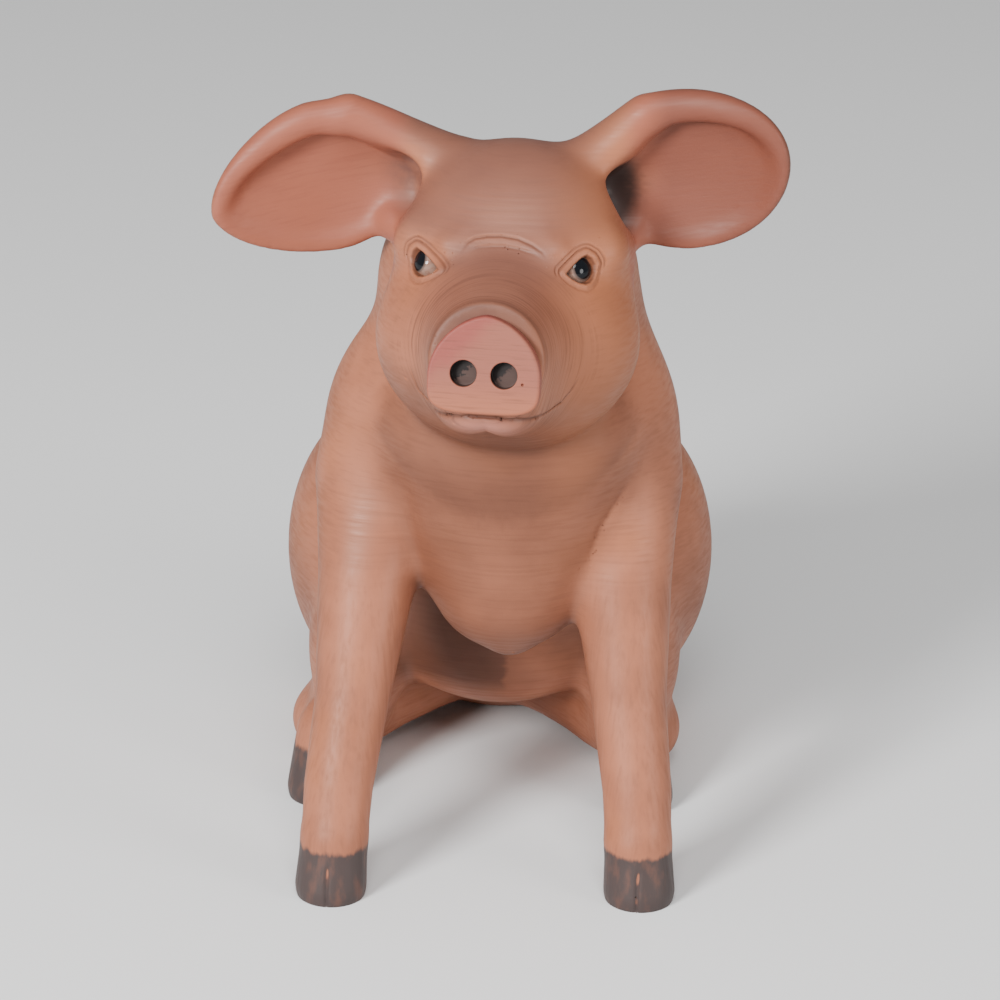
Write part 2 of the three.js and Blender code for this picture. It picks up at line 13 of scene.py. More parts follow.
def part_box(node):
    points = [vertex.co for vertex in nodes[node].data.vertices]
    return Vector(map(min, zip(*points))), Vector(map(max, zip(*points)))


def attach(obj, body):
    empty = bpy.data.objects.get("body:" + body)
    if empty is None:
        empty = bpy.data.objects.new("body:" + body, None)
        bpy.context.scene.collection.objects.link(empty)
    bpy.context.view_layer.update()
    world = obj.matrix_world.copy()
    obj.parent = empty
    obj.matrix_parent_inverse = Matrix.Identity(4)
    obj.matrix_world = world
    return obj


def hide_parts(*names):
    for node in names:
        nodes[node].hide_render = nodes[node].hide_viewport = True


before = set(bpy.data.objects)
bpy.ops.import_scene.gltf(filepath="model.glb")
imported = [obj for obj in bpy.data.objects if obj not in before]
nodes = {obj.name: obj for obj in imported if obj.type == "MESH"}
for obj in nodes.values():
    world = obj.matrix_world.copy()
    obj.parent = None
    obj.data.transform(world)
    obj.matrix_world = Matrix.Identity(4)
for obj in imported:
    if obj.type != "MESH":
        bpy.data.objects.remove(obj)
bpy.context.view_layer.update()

# ---------------------------------------------------------------- the head
# The head is roughed out of the top of the block: a skull, two full cheeks, a jaw and a snout
# that tapers to a flat end. It looks a little to the pig's right, with the snout up. Lengths
# are the carver's, in millimetres from a mark on the floor between the feet.

MM = 0.001
OFF_CENTRE = 3
HEAD_CENTRE = (2.5, -45, 228)
HEAD_PITCH = 12
HEAD_TURN = 5.5
SNOUT_REACH = 70
SNOUT_DROP = 18
DISC_THICK = 5


def soft(a, b, k):
    """The lower of two fields, flowing together over a band k wide."""
    h = np.maximum(k - np.abs(a - b), 0) / k
    return np.minimum(a, b) - h**3 * k / 6


def soft_cut(a, b, k):
    return -soft(-a, b, k)


def egg(centre, radii, pitch=0):
    """A field that is zero on an egg of three radii, which nods forward by pitch degrees."""
    c, s = math.cos(math.radians(pitch)), math.sin(math.radians(pitch))
    turn = np.array([[1, 0, 0], [0, c, -s], [0, s, c]])
    centre, radii = np.array(centre, float), np.array(radii, float)

    def field(points):
        near = (points - centre) @ turn
        k0 = np.sqrt(((near / radii) ** 2).sum(1))
        k1 = np.sqrt(((near / radii**2) ** 2).sum(1))
        return k0 * (k0 - 1) / np.maximum(k1, 1e-9)

    return field


def limb(start, start_radius, end, end_radius):
    """A limb that tapers from one round end to the other."""
    a, u = np.array(start, float), np.array(end, float) - np.array(start, float)
    l2 = u @ u
    taper = start_radius - end_radius
    slope = l2 - taper * taper

    def field(points):
        p = points - a
        along = p @ u
        beyond = along - l2
        side2 = ((p * l2 - along[:, None] * u) ** 2).sum(1)
        k = np.sign(taper) * taper * taper * side2
        past_end = np.sqrt(side2 + beyond**2 * l2) / l2 - end_radius
        past_start = np.sqrt(side2 + along**2 * l2) / l2 - start_radius
        between = (np.sqrt(side2 * slope / l2) + along * taper) / l2 - start_radius
        return np.where(
            np.sign(beyond) * slope * beyond**2 * l2 > k,
            past_end,
            np.where(np.sign(along) * slope * along**2 * l2 < k, past_start, between),
        )

    return field


def chain(points):
    """Limbs through the points, each (x, y, z, radius)."""
    links = [limb(a[:3], a[3], b[:3], b[3]) for a, b in zip(points, points[1:])]
    return lambda p: np.minimum.reduce([link(p) for link in links])


def blended(first, *others):
    def field(points):
        d = first(points)
        for form, k in others:
            d = soft(d, form(points), k)
        return d

    return field


def mirrored(form, middle=0):
    def field(points):
        folded = points.copy()
        folded[:, 0] = np.abs(folded[:, 0] - middle)
        return form(folded)

    return field


def placed(form, matrix):
    """A form made in a frame of its own, placed in the figure by a matrix."""
    back = np.array(matrix.inverted())
    return lambda points: form(points @ back[:3, :3].T + back[:3, 3])


def close_to(form, centre, reach):
    """The form where a point lies within reach of its centre, and well outside it elsewhere."""
    centre = np.array(centre, float)

    def field(points):
        d = np.full(len(points), 60.0)
        inside = ((points - centre) ** 2).sum(1) < reach**2
        if inside.any():
            d[inside] = form(points[inside])
        return d

    return field


head_frame = (
    Matrix.Translation(HEAD_CENTRE)
    @ Matrix.Rotation(math.radians(-HEAD_TURN), 4, "Z")
    @ Matrix.Rotation(math.radians(-HEAD_PITCH), 4, "X")
)


def cut_flat(form, reach, k):
    """The form, sawn off square at y = -reach, its edge rounded by k."""
    return lambda p: soft_cut(form(p), p[:, 1] + reach, k)


head = close_to(
    placed(
        cut_flat(blended(
            egg([0, 10, 13], [42, 36, 38]),
            (egg([0, -1, -17], [46, 42, 39]), 14),
            (limb([0, -10, -14], 31, [0, DISC_THICK - SNOUT_REACH, -SNOUT_DROP + 0.5], 19), 12),
            (mirrored(limb([8, 4, -30], 22, [6.5, 19 - SNOUT_REACH, -SNOUT_DROP - 13.5], 12.5)), 9),
            (mirrored(limb([30, -8, 16], 10, [14, -18, 15], 8)), 10),
            (egg([0, 38, 8], [36, 30, 32]), 16),
        ), SNOUT_REACH - DISC_THICK, 2),
        head_frame,
    ),
    HEAD_CENTRE,
    130,
)

# ---------------------------------------------------------------- the ears
# Each ear is a leaf of wood left standing on the side of the head and carved to a shallow
# dish, with a rolled rim that is thick at the forehead and thin at the lower edge. The right
# ear droops a little and the left one stands up.

EAR_DEPTH = 11
DISH_ROUND = 18
DISH_FLOOR = 3
EAR_BEND = 6


def ramp(value, low, high):
    """0 at low, 1 at high and smooth between, low and high in either order."""
    share = np.clip((value - low) / (high - low), 0, 1)
    return share * share * (3 - 2 * share)


def outline_at(points, root, tip, height, fullness):
    """How far out from the middle of the ear's own plane each point lies, 1 on the leaf's
    outline, and how fast that grows. Above its middle the root side is cut back, where the rim
    comes down to the forehead."""
    x, z = points[:, 0], points[:, 2]
    reach = np.where(x < 0, root * (1 - 0.16 * ramp(z / height, -0.4, 0.4)), tip)
    u, v = np.abs(x / reach), np.abs(z / height)
    level = np.maximum((u**fullness + v**fullness) ** (1 / fullness), 0.01)
    slope = np.hypot((u / level) ** (fullness - 1) / reach, (v / level) ** (fullness - 1) / height)
    return level, slope


def leaf(root, tip, height, fullness, depth):
    def field(points):
        level, slope = outline_at(points, root, tip, height, fullness)
        out = np.hypot(level, points[:, 1] / depth)
        return out * (out - 1) / np.hypot(level * slope, points[:, 1] / depth**2)

    return field


def rolled_rim(root, tip, height, fullness):
    """Broad and proud along the top, slim round the tip and set back below. It ends short of
    the root, above and below."""
    def field(points):
        level, slope = outline_at(points, root, tip, height, fullness)
        along = points[:, 0] / np.where(points[:, 0] < 0, root, tip)
        turn = np.degrees(np.arctan2(points[:, 2] / height, along))
        slim = ramp(turn, -40, 95)
        thick = (2.2 + 3.2 * slim) * (1 - ramp(np.abs(turn), 105, 150))
        back = 1.8 - 4.3 * ramp(turn, -20, 60)
        depth = (points[:, 1] - back) * (1 + 0.35 * slim)
        return np.hypot((level - 1) / slope + thick, depth) - thick

    return field


def bent_back(points, tip, curl):
    bend = np.maximum(points[:, 0] / tip, 0) ** 2
    return points + bend[:, None] * np.array([0, EAR_BEND, -curl])


def ear_dish(root, tip, height, fullness, curl):
    """What the gouge takes out of the front of an ear."""
    hollow = leaf(root * 1.5, tip * 1.4, height * 1.6, fullness, DISH_ROUND)
    return lambda p: hollow(bent_back(p, tip, curl) + np.array([0, DISH_ROUND - DISH_FLOOR, 0]))


def ear_form(root, tip, height, fullness, curl, corner, lobe):
    outside = leaf(root, tip, height, fullness, EAR_DEPTH)
    dish = ear_dish(root, tip, height, fullness, curl)
    rim = rolled_rim(root, tip, height, fullness)
    upper_root = limb(corner, 12.5, [-0.35 * root, -1.5, 0.95 * height - 6], 6.5)
    lower_root = limb(lobe, 7, [12 - root, 7, -0.55 * height], 4.5)

    def field(points):
        bent = bent_back(points, tip, curl)
        cup = soft_cut(outside(bent), dish(points), 3)
        edged = soft(cup, soft(rim(bent), upper_root(points), 10), 6)
        return soft(edged, lower_root(points), 8)

    return field


def ear_pit(root, depth):
    """The pit from the hollow of the ear into the side of the head."""
    return chain([
        (17 - root - depth, -7, -13, 5 + depth / 6),
        (15 - root - depth, -7.5, -4, 6 + depth / 3),
        (28 - root, -14, -3, 14),
    ])


# An ear's shape: root and tip are how far it reaches from its widest line, height is half that
# line, fullness is 2 for an elliptical outline, and curl is how far the tip turns up. corner is
# where the thick upper rim grows from the forehead, lobe where the lower rim meets the cheek.
EARS = {
    "right": dict(
        side=-1, at=(-63, -21.5, 259), lift=-17.5,
        shape=dict(root=41, tip=41.5, height=28, fullness=1.65, curl=0),
        corner=(-20, -22, 262.3), lobe=(-38, -17, 242), depth=1,
    ),
    "left": dict(
        side=1, at=(61.5, -22.5, 265.6), lift=9,
        shape=dict(root=32, tip=37, height=29.4, fullness=2, curl=3),
        corner=(26, -24, 262.3), lobe=(42, -18, 242), depth=7,
    ),
}
for ear in EARS.values():
    ear["frame"] = (
        Matrix.Translation(ear["at"])
        @ Matrix.Diagonal((ear["side"], 1, 1, 1))
        @ Matrix.Rotation(math.radians(-6), 4, "Z")
        @ Matrix.Rotation(math.radians(-ear["lift"]), 4, "Y")
        @ Matrix.Rotation(math.radians(6), 4, "X")
    )
    inside = ear["frame"].inverted()
    roots = {name: inside @ Vector(ear[name]) for name in ("corner", "lobe")}
    form = ear_form(**ear["shape"], **roots)
    pit = ear_pit(ear["shape"]["root"], ear["depth"])
    ear["form"] = close_to(placed(form, ear["frame"]), ear["at"], 95)
    ear["pit"] = close_to(placed(pit, ear["frame"]), ear["at"], 80)
    ear["dish"] = close_to(placed(ear_dish(**ear["shape"]), ear["frame"]), ear["at"], 95)

# ---------------------------------------------------------------- the body and the legs
# The rest of the block: a sloping back on a broad rump, a deep chest with a keel below it,
# two haunches folded flat, and straight front legs planted wide. The small tail curls once.

THICK_NECK = limb([1, 2, 213], 47, [OFF_CENTRE, 18, 170], 52)
THROAT = egg([OFF_CENTRE, -26, 168], [46, 35, 32], -15)
CHEST = chain([
    (OFF_CENTRE, -6, 142, 47),
    (OFF_CENTRE + 1, -18, 110, 29),
    (OFF_CENTRE + 2, -24, 93, 13),
])
BELLY = egg([0, 62, 67], [52, 46, 42])
BARREL = limb([0, 34, 152], 57, [0, 92, 84], 58)
PELVIS = egg([0, 118, 49], [58, 48, 52])
SHOULDERS = mirrored(egg([38, 4, 152], [27, 34, 46], 10))
HAUNCHES = mirrored(egg([41.5, 84, 77], [41, 50, 60], 12), -1)
KNEES = mirrored(egg([52, 44, 50], [19, 27, 36], 20), -1.5)
THIGHS = mirrored(limb([26, 90, 26], 21, [60, 50, 17], 15), -4)

LEG_APART = 112
HOOF_WIDTH = 26
HOOF_TOP = 20
HIND_MIDDLE = -5
HIND_REACH = 60.5
LEFT_LEG_BACK = 4
LEG_SHIFT = -0.7


def front_leg(side):
    """The left leg is planted a little further back than the right one."""
    back = LEFT_LEG_BACK if side > 0 else 0
    upper = chain([
        (side * x + LEG_SHIFT, y + back * (140 - z) / 120, z, r)
        for x, y, z, r in (
            (42, -8, 140, 24),
            (46, -26, 112, 18),
            (50, -44, 70, 13.5),
            (54, -56, 40, 12.5),
            (55, -62, 22, 12),
        )
    ])
    sole = [side * LEG_APART / 2 + LEG_SHIFT, back - 64, 4]
    foot = limb([side * 55 + LEG_SHIFT, back - 62, 22], 12, sole, HOOF_WIDTH / 2)
    return blended(upper, (foot, 3))


FRONT_LEGS = {side: front_leg(side) for side in (-1, 1)}
HIND_LEGS = mirrored(
    blended(
        chain([(50, 98, 14, 14), (50, 62, 18, 13.5), (57.5, 24, 26, 11)]),
        (limb([59, 23, 24], 11.5, [HIND_REACH, 17, 4], HOOF_WIDTH / 2), 3),
    ),
    HIND_MIDDLE,
)
body = blended(
    BARREL,
    (PELVIS, 16),
    (THICK_NECK, 22),
    (CHEST, 16),
    (THROAT, 22),
    (BELLY, 12),
    (SHOULDERS, 16),
    (HAUNCHES, 14),
    (KNEES, 14),
    (FRONT_LEGS[-1], 12),
    (FRONT_LEGS[1], 12),
    (THIGHS, 12),
    (HIND_LEGS, 12),
)

TAIL_ROOT = (0, 160, 74)
TAIL_CURL = 10
tail_points = [(0, 154, 72, 5.5), (0, 166, 77, 4.6)]
for i in range(15):
    turn = math.radians(-90 + 28 * i)
    tail_points.append((
        TAIL_CURL * math.cos(turn) + 1,
        TAIL_ROOT[1] + 10 + i * 0.7,
        TAIL_ROOT[2] + 13 + TAIL_CURL * math.sin(turn),
        4.2 - 0.15 * i,
    ))
tail = close_to(chain(tail_points), TAIL_ROOT, 60)


def flesh(points):
    """The whole figure before the fine carving."""
    d = soft(body(points), head(points), 11)
    for ear in EARS.values():
        d = soft(d, ear["form"](points), 10)
        d = soft_cut(d, ear["pit"](points), 11)
    return soft(d, tail(points), 4)


# ---------------------------------------------------------------- the skin
# The figure is one piece of wood, so one skin stands for every sawn part of the frame except
# the snout disc and the eyes. It is laid over the carved form as a fine net, then thinned out
# where the form is plain.

EYE_MARKS = {"right": (-25.5, -17.7, 8.5), "left": (23.2, -19, 9.5)}
SKIN_NODES = [name for name in nodes if name != "snout_disc" and not name.startswith("eye_")]
SKIN_GRAIN = 1.4
SKIN_LOW = (-112, -130, -5.5)
SKIN_HIGH = (112, 200, 306)
SKIN_SHARE = 0.36

# Where the carver's mark on the floor lies in the frame.
mark = Vector()
for side, place in EYE_MARKS.items():
    low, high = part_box(f"eye_{side}")
    mark += ((low + high) / 2 - head_frame @ Vector(place) * MM) / len(EYE_MARKS)


def to_carver(mesh):
    co = np.empty(len(mesh.vertices) * 3)
    mesh.vertices.foreach_get("co", co)
    return (co.reshape(-1, 3) - np.array(mark)) / MM


def from_carver(mesh, points):
    mesh.vertices.foreach_set("co", (points * MM + np.array(mark)).astype(np.float32).ravel())
    mesh.update()


def pared(points, form, passes=3, reach=2.5):
    """Moves points down the field's slope until they lie on its surface."""
    h = 0.05
    for _ in range(passes):
        d = form(points)
        slope = np.stack([(form(points + step) - d) / h for step in np.eye(3) * h], axis=1)
        steep = np.maximum((slope**2).sum(1), 0.1)
        step = np.clip(d / steep, -reach, reach)
        points = points - slope * step[:, None]
        points[:, 2] = np.maximum(points[:, 2], 0)
    return points


def in_parts(form, points, part=30000):
    """The form at many points, a part of them at a time."""
    return np.concatenate([form(points[i : i + part]) for i in range(0, len(points), part)])


def sampled(form, low, count, cell, stride=8):
    """The form at the corners of a grid. It starts from every eighth corner and halves the
    steps, and leaves out the corners that the surface can't be near."""
    value = np.zeros([n // stride for n in count])
    near = np.ones(value.shape, bool)
    while True:
        value[near] = in_parts(form, low + np.argwhere(near) * stride * cell)
        if stride == 1:
            return value
        value = value.repeat(2, 0).repeat(2, 1).repeat(2, 2)
        near = np.abs(value) < 1.8 * stride * cell
        stride //= 2


def net(form, low, high, cell):
    """Vertices and four-sided faces where the form is zero: a vertex in each cell of the grid
    that the surface crosses, and a face round each edge that it crosses."""
    low = np.array(low, float)
    count = [int(8 * math.ceil((b - a) / cell / 8)) for a, b in zip(low, high)]
    value = sampled(form, low, count, cell)
    solid = value < 0
    filled = np.zeros([n - 1 for n in count], np.int8)
    for i, j, k in ((i, j, k) for i in (0, 1) for j in (0, 1) for k in (0, 1)):
        filled += solid[i : count[0] - 1 + i, j : count[1] - 1 + j, k : count[2] - 1 + k]
    cells = np.argwhere((filled > 0) & (filled < 8))
    number = np.full(filled.shape, -1)
    number[tuple(cells.T)] = np.arange(len(cells))

    total, crossings, faces = np.zeros((len(cells), 3)), np.zeros(len(cells)), []
    for axis in range(3):
        step, u, v = np.roll(np.eye(3, dtype=int), -axis, axis=0)
        for i, j in ((0, 0), (0, 1), (1, 0), (1, 1)):
            at = cells + i * u + j * v
            a, b = value[tuple(at.T)], value[tuple((at + step).T)]
            crossed = (a < 0) != (b < 0)
            share = np.where(crossed, a / np.where(crossed, a - b, 1), 0)
            total += np.where(crossed[:, None], i * u + j * v + share[:, None] * step, 0)
            crossings += crossed
        here = tuple(slice(1, n - 1) for n in count)
        beyond = tuple(slice(1 + o, n - 1 + o) for o, n in zip(step, count))
        edges = np.argwhere(solid[here] != solid[beyond]) + 1
        ring = np.stack([
            number[tuple((edges - i * u - j * v).T)] for i, j in ((1, 1), (0, 1), (0, 0), (1, 0))
        ], axis=1)
        faces.append(np.where(solid[tuple(edges.T)][:, None], ring, ring[:, ::-1]))
    return low + (cells + total / crossings[:, None]) * cell, np.concatenate(faces)


def settle(piece):
    """Replaces the piece's mesh by what its modifiers make of it."""
    graph = bpy.context.evaluated_depsgraph_get()
    made = bpy.data.meshes.new_from_object(piece.evaluated_get(graph))
    piece.modifiers.clear()
    piece.data = made
    return made


points, faces = net(flesh, SKIN_LOW, SKIN_HIGH, SKIN_GRAIN)
points[:, 2] = np.maximum(points[:, 2], 0)
mesh = bpy.data.meshes.new("skin")
mesh.from_pydata(points * MM + np.array(mark), [], faces)
skin = bpy.data.objects.new("skin", mesh)
bpy.context.scene.collection.objects.link(skin)
thinned = skin.modifiers.new("thinned", "DECIMATE")
thinned.ratio = SKIN_SHARE
mesh = settle(skin)
from_carver(mesh, pared(to_carver(mesh), flesh))

# ---------------------------------------------------------------- the fine carving
# Lines cut with a knife and a small gouge: the two folds of skin over the bridge of the snout,
# the ring behind the disc, the mouth with its corners drawn up, the lids with their creases, the
# grooves of the chest and the slits of the hooves. The lip and the brows are left proud.

FOLD_ABOVE = [
    (-14.6, -28.6, 13.6), (-12.7, -27.6, 17.6), (-10.1, -26.8, 19.3), (-5.7, -26.3, 20.2),
    (-1, -26.2, 20.5), (4.6, -26.5, 19.9), (9.5, -27.4, 18.2), (13.5, -28.2, 15.8),
    (15.4, -28.9, 13.3),
]
FOLD_BELOW = [
    (-12.4, -29, 14.3), (-8.1, -28.2, 16.9), (-4, -28, 17.5), (0.7, -28, 17.7),
    (5.6, -28.3, 17.1), (10.5, -28.8, 15.7), (14.8, -29.2, 13),
]
MOUTH = [
    (-29.6, -33.3, -23.7), (-28.4, -32.6, -28.2), (-25.9, -31.8, -33.3), (-23, -36, -35.8),
    (-19.5, -45, -36.4), (-16, -56, -36.3), (-11, -61.5, -36.2), (-5, -64.5, -36.1),
    (5, -64.5, -36.1), (11, -61.5, -36.1), (16, -56, -35.9), (19.5, -45, -35.4),
    (22.6, -36.6, -33.4), (25.8, -34.4, -29.9), (28.2, -33.9, -26), (29.7, -33.3, -23.2),
]
LIP = (0, -62, -40)
BROWS = [(-20.5, -25.2, 16.8), (19, -25.9, 17)]
RING_RADIUS = 19.4
MUZZLE_RING = [
    (RING_RADIUS * math.cos(turn), -61.5, -17 + RING_RADIUS * math.sin(turn))
    for turn in map(math.radians, range(20, 165, 8))
]
# Where the chest meets the forelegs: a groove on the left, a broad valley on the right.
CHEST_GROOVE = [(48.4, -33.5, 156.8), (36.6, -39.9, 135.8), (31.9, -39.1, 117.9)]
CHEST_VALLEY = [(-36.8, -43.7, 165.4), (-30.5, -37.6, 128.6), (-27.5, -33.4, 113.4)]
# The openings between the lids, and the way each eye looks. +X runs from the inner corner of an
# eye to its outer one, +Y up.
EYE_RADIUS = 6.2
GAZE = {"right": (-0.8, -0.55, 0.24), "left": (0.7, -0.67, 0.25)}
OPENING = {
    "right": [
        (1.1, 3.9), (-1.4, 3.1), (-3.8, 1.9), (-7.4, 0.2), (-11, -1.6), (-8.6, -3.5),
        (-6.2, -4.8), (-3.6, -5.2), (-1.2, -4.6), (0.9, -3.4), (2.6, -1.5), (3.1, 0.4), (2.4, 2.6),
    ],
    "left": [
        (1.4, 4.2), (-0.4, 3.5), (-2.2, 2.2), (-4.8, 0.1), (-7.2, -1.7), (-5.8, -3.4),
        (-3.6, -4.8), (-0.8, -5.5), (1.4, -5), (3.2, -3.6), (4.4, -1.3), (4.3, 1), (3.1, 3),
    ],
}


def to_head(points):
    """Points of the figure in the head's own frame."""
    turn = np.array(head_frame.inverted())
    return points @ turn[:3, :3].T + turn[:3, 3]


def on_surface(line):
    """A line marked on the head, brought onto the carved form."""
    place = np.array(head_frame)
    points = np.array(line, float) @ place[:3, :3].T + place[:3, 3]
    return to_head(pared(points, flesh, passes=6, reach=1))


MOUTH, FOLD_ABOVE, FOLD_BELOW = (on_surface(line) for line in (MOUTH, FOLD_ABOVE, FOLD_BELOW))


def eye_plane(side):
    look = Vector(GAZE[side]).normalized()
    across = Vector((0, 0, 1)).cross(look).normalized() * (-1 if side == "right" else 1)
    up = (Vector((0, 0, 1)) - look * look.z).normalized()
    return np.array([across, up, look])


def in_eye(points, side):
    return (to_head(points) - np.array(EYE_MARKS[side])) @ eye_plane(side).T


def gap_to(points, line):
    """How far each point lies from a line through several marks, how far along it, 0 to 1, and
    the nearest point on it."""
    line = np.array(line, float)
    gap, share, foot = np.full(len(points), 1e3), np.zeros(len(points)), points.copy()
    lengths = np.linalg.norm(np.diff(line, axis=0), axis=1)
    done = 0
    for a, b, length in zip(line, line[1:], lengths):
        t = np.clip((points - a) @ (b - a) / length**2, 0, 1)
        near = a + t[:, None] * (b - a)
        d = np.linalg.norm(points - near, axis=1)
        closer = d < gap
        gap[closer] = d[closer]
        share[closer] = ((done + t * length) / lengths.sum())[closer]
        foot[closer] = near[closer]
        done += length
    return gap, share, foot


def outline_gap(points, outline):
    """How far points of a plane lie outside a closed outline, with a minus sign inside it."""
    corners = np.array(outline, float)
    gap = gap_to(points, np.vstack([corners, corners[:1]]))[0]
    inside = np.zeros(len(points), bool)
    for (ax, ay), (bx, by) in zip(corners, np.roll(corners, -1, axis=0)):
        crosses = (ay > points[:, 1]) != (by > points[:, 1])
        at = ax + (points[:, 1] - ay) * (bx - ax) / (by - ay if by != ay else 1e-9)
        inside ^= crosses & (points[:, 0] < at)
    return np.where(inside, -gap, gap)


def around_eye(points, side):
    """The gap from the lids' opening, large for points that aren't on that eye's side."""
    near = in_eye(points, side)
    gap = np.full(len(points), 99.0)
    front = (np.abs(near[:, 0]) < 22) & (np.abs(near[:, 1]) < 16) & (near[:, 2] > -4)
    front &= near[:, 2] < 14
    gap[front] = outline_gap(near[front, :2], OPENING[side])
    return gap, near


HOOF_SLITS = []
for side in (-1, 1):
    toe = (LEFT_LEG_BACK if side > 0 else 0) - 77
    x = side * LEG_APART / 2 - 1.6
    HOOF_SLITS.append([(x, toe, 0), (x, toe + 0.4, 8), (x + 0.4, toe + 3, 17)])
    x = side * HIND_REACH + HIND_MIDDLE
    HOOF_SLITS.append([(x, 4, 0), (x, 4.6, 8), (x, 7.4, 16)])


def carving_gap(points):
    """How far each point is from the nearest fine carving, and how far from the opening of the
    nearer eye.
    """
    gap, eyes = np.full(len(points), 99.0), np.full(len(points), 99.0)
    face = to_head(points)[:, 1] < -8
    in_face = to_head(points[face])
    for line in (FOLD_ABOVE, FOLD_BELOW, MOUTH, MUZZLE_RING):
        gap[face] = np.minimum(gap[face], gap_to(in_face, line)[0])
    eyes[face] = np.minimum(*(around_eye(points[face], side)[0] for side in EYE_MARKS))
    low = points[:, 2] < 30
    for line in HOOF_SLITS:
        gap[low] = np.minimum(gap[low], gap_to(points[low], line)[0])
    chest = (points[:, 1] < -20) & (points[:, 0] > 20) & ~low
    gap[chest] = np.minimum(gap[chest], gap_to(points[chest], CHEST_GROOVE)[0])
    return gap, eyes


def finest(points):
    """How long the edges of the skin may be at each point: short at a carving, longer away."""
    gap, eyes = carving_gap(points)
    return np.minimum(np.maximum(0.32, 0.45 * (gap - 1)), np.maximum(0.3, 0.45 * (eyes - 4.6)))


for _ in range(5):
    points = to_carver(mesh)
    ends = np.empty(len(mesh.edges) * 2, int)
    mesh.edges.foreach_get("vertices", ends)
    a, b = points[ends[::2]], points[ends[1::2]]
    long = np.linalg.norm(a - b, axis=1) > 1.4 * finest((a + b) / 2)
    shape = bmesh.new()
    shape.from_mesh(mesh)
    shape.edges.ensure_lookup_table()
    edges = [shape.edges[i] for i in np.flatnonzero(long)]
    bmesh.ops.subdivide_edges(shape, edges=edges, cuts=1)
    bmesh.ops.triangulate(shape, faces=shape.faces)
    shape.to_mesh(mesh)
    shape.free()
    points = to_carver(mesh)
    near = finest(points) < 3
    points[near] = pared(points[near], flesh, passes=2, reach=1)
    from_carver(mesh, points)
normals = np.empty(len(mesh.vertices) * 3)
mesh.vertex_normals.foreach_get("vector", normals)
normals = normals.reshape(-1, 3)


def groove(gap, width):
    """The section of a cut or a ridge: 1 in its middle, fading over its width."""
    return np.exp(-((gap / width) ** 2))


def mound(points, centre, radii):
    """A round swelling: 1 at its centre, fading over its radii."""
    return np.exp(-(((points - np.array(centre)) / np.array(radii)) ** 2).sum(1))


rise = np.zeros(len(points))
cut = np.zeros(len(points))
in_head = to_head(points)
gap, share, _ = gap_to(in_head, FOLD_ABOVE)
fade = ramp(share, 0, 0.2) * ramp(share, 1, 0.8)
cut += 0.45 * groove(gap, 0.6) * fade
rise += 0.25 * groove(gap, 2.2) * fade
gap, share, foot = gap_to(in_head, FOLD_BELOW)
below = ramp((in_head - foot) @ np.array([0, -0.7, -0.7]), -0.7, 0.7)
fade = ramp(share, 0, 0.3) * ramp(share, 1, 0.7)
cut += 0.3 * groove(gap, 0.7) * fade
sink = 0.6 * below * ramp(gap, 9, 0) * fade
gap, share, _ = gap_to(in_head, MOUTH)
middle = ramp(np.abs(share - 0.5), 0.3, 0.1)
ends = ramp(share, 0, 0.1) * ramp(share, 1, 0.9)
cut += (0.55 + 0.5 * middle) * groove(gap, 0.45 + 0.5 * middle) * ends
smile = groove(gap, 0.5 + 0.7 * middle) * ends
gap, share, _ = gap_to(in_head, MUZZLE_RING)
crease = groove(gap, 0.55) * ramp(share, 0, 0.25) * ramp(share, 1, 0.75)
cut += 0.7 * crease
pout = 1.8 * mound(in_head, LIP, [10.5, 7, 2.4])
for brow in BROWS:
    rise += 1.3 * mound(in_head, brow, 4.2)
for line in HOOF_SLITS:
    gap, share, _ = gap_to(points, line)
    cut += 0.8 * groove(gap, 0.8) * ramp(share, 1, 0.8)
gap, share, _ = gap_to(points, CHEST_GROOVE)
sink += 0.5 * groove(gap, 2) * ramp(share, 0, 0.4) * ramp(share, 1, 0.7)
gap, share, _ = gap_to(points, CHEST_VALLEY)
sink += 0.9 * groove(gap, 5) * ramp(share, 0, 0.3) * ramp(share, 1, 0.8)
lids = np.zeros(len(points))
for side in EYE_MARKS:
    gap, near = around_eye(points, side)
    upper = ramp(near[:, 1] - 0.1 * near[:, 0], -1.6, 0.6)
    rise += 0.5 * groove(gap - 0.8, 0.7) + 0.35 * upper * groove(gap - 1.7, 0.7)
    cut += (0.5 * groove(gap - 2.7, 0.35) + 0.35 * groove(gap - 4.1, 0.4)) * upper
    cut += 0.16 * groove(gap - 2.6, 0.45) * (1 - upper)
    dip = 3 * ramp(gap, 0.1, -0.6)
    points -= dip[:, None] * eye_plane(side)[2] @ np.array(head_frame)[:3, :3].T
    lids = np.maximum(lids, groove(gap, 0.4))
points += (rise - cut - sink)[:, None] * normals
points += pout[:, None] * (np.array(head_frame)[:3, :3] @ np.array([0, -0.95, -0.3]))
from_carver(mesh, points)

# ---------------------------------------------------------------- the paint
# Thin oil paint on the bare wood, laid on with a small stiff brush. Its bristles left fine lines:
# round the snout, along the legs and the ears, and across the chest. The hooves are grey with a
# ragged upper edge. Shade and shadow are painted in as well: brown in the cuts, on surfaces that
# face down, in the head's shadow on the chest and in the keel's shadow on the belly; mauve on the
# bridge, the crown, the ears and their pits; a near black in the pit of the left ear. The tan on
# the left of the head is partly the paint's own tone and partly painted shade.

PINK = (0.235, 0.082, 0.043, 1)
PALE_PINK = (0.3, 0.107, 0.057, 1)
ROSE = (0.215, 0.06, 0.036, 1)
LIP_PINK = (0.31, 0.12, 0.09, 1)
BROWN = (0.055, 0.02, 0.012, 1)
MAUVE = (0.115, 0.048, 0.036, 1)
HOOF_GREY = (0.042, 0.029, 0.027, 1)
PIT_DARK = (0.02, 0.008, 0.006, 1)
TAN = (0.27, 0.09, 0.036, 1)


def keep(mesh, name, values):
    """Keeps a value for each vertex, for the paint to read."""
    layer = mesh.attributes.new(name, "FLOAT", "POINT")
    layer.data.foreach_set("value", values.astype(np.float32))


